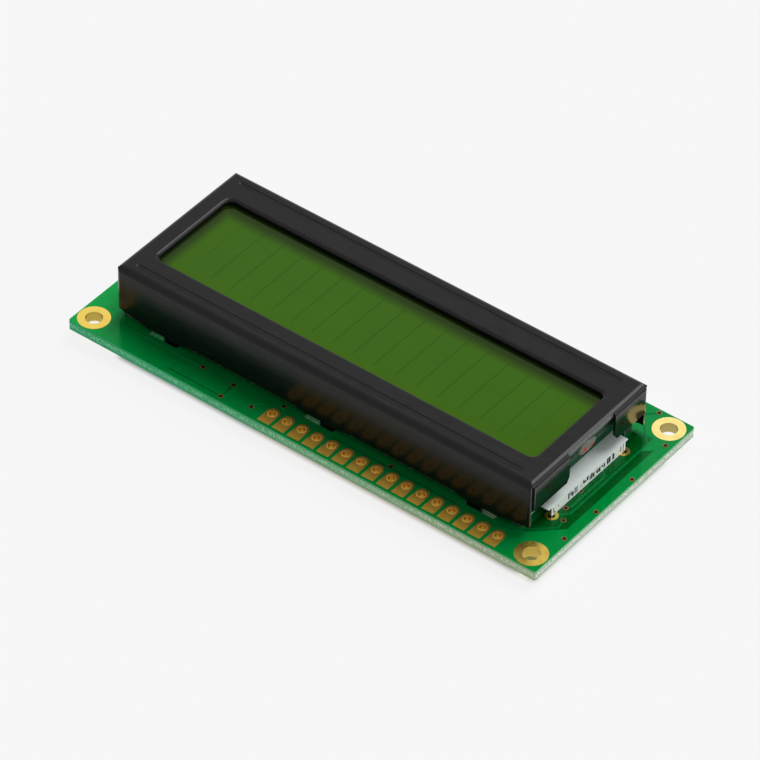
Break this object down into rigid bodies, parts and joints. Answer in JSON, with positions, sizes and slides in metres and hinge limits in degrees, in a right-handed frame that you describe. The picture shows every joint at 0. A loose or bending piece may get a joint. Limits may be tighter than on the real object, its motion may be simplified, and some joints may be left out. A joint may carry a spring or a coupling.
{
  "type": "character lcd module",
  "caption": "Two-row character liquid crystal display in a black folded steel bezel on a green circuit board with a header pin row and corner mounting holes.",
  "frame": {"origin": "centre of the four mounting holes, on the back face of the circuit board", "axes": "+X along the rows of characters, from left to right as read; +Y across the board, from the pin row's edge to the far edge; +Z out of the display's face"},
  "size_m": [0.08, 0.036, 0.0119],
  "materials": {
    "laminate": "green solder mask, gloss",
    "bezel_steel": "black, satin gloss",
    "polariser": "yellow-green film, gloss",
    "display_glass": "clear",
    "seal": "matt",
    "plug_resin": "reddish resin",
    "light_guide": "clear acrylic",
    "white_film": "white film, satin",
    "strip_rubber": "light grey silicone, matt",
    "gold_plate": "gold over copper",
    "copper": "bare copper under flux",
    "solder": "tin solder, bright",
    "lamp_strip": "white, gloss",
    "lamp": "translucent yellowish",
    "silicon": "polished",
    "black_resin": "black resin, satin",
    "chip_resistor": "dark glazed, tinned ends",
    "chip_capacitor": "brown, tinned ends"
  },
  "bodies": {
    "root": {"board": "laminate", "bezel": "bezel_steel", "front_film": "polariser", "rear_film": "polariser", "front_glass": "display_glass", "rear_glass": "display_glass", "cell_seal": "seal", "liquid_crystal": "display_glass", "fill_plug": "plug_resin", "diffuser": "white_film", "mirror_film": "white_film", "cover_film": "white_film", "light_guide": "light_guide", "lamp_strip": "lamp_strip", "front_contact_strip": "strip_rubber", "back_contact_strip": "strip_rubber", "front_fingers": "gold_plate", "back_fingers": "gold_plate", "vias": "copper", "resistors": "chip_resistor", "capacitors": "chip_capacitor", "mounting_ring_1": "gold_plate", "lamp_1": "lamp", "mounting_ring_2": "gold_plate", "lamp_2": "lamp", "mounting_ring_3": "gold_plate", "lamp_3": "lamp", "mounting_ring_4": "gold_plate", "lamp_4": "lamp", "pin_pad_1": "copper", "pin_pad_2": "copper", "pin_pad_3": "copper", "pin_pad_4": "copper", "pin_pad_5": "copper", "pin_pad_6": "copper", "pin_pad_7": "copper", "pin_pad_8": "copper", "pin_pad_9": "copper", "pin_pad_10": "copper", "pin_pad_11": "copper", "pin_pad_12": "copper", "pin_pad_13": "copper", "pin_pad_14": "copper", "pin_pad_15": "copper", "pin_pad_16": "copper", "lamp_pin_1": "copper", "lamp_pad_1": "gold_plate", "lamp_solder_1": "solder", "controller_1": "silicon", "resin_cap_1": "black_resin", "lamp_pin_2": "copper", "lamp_pad_2": "gold_plate", "lamp_solder_2": "solder", "controller_2": "silicon", "resin_cap_2": "black_resin"}
  },
  "joints": []
}
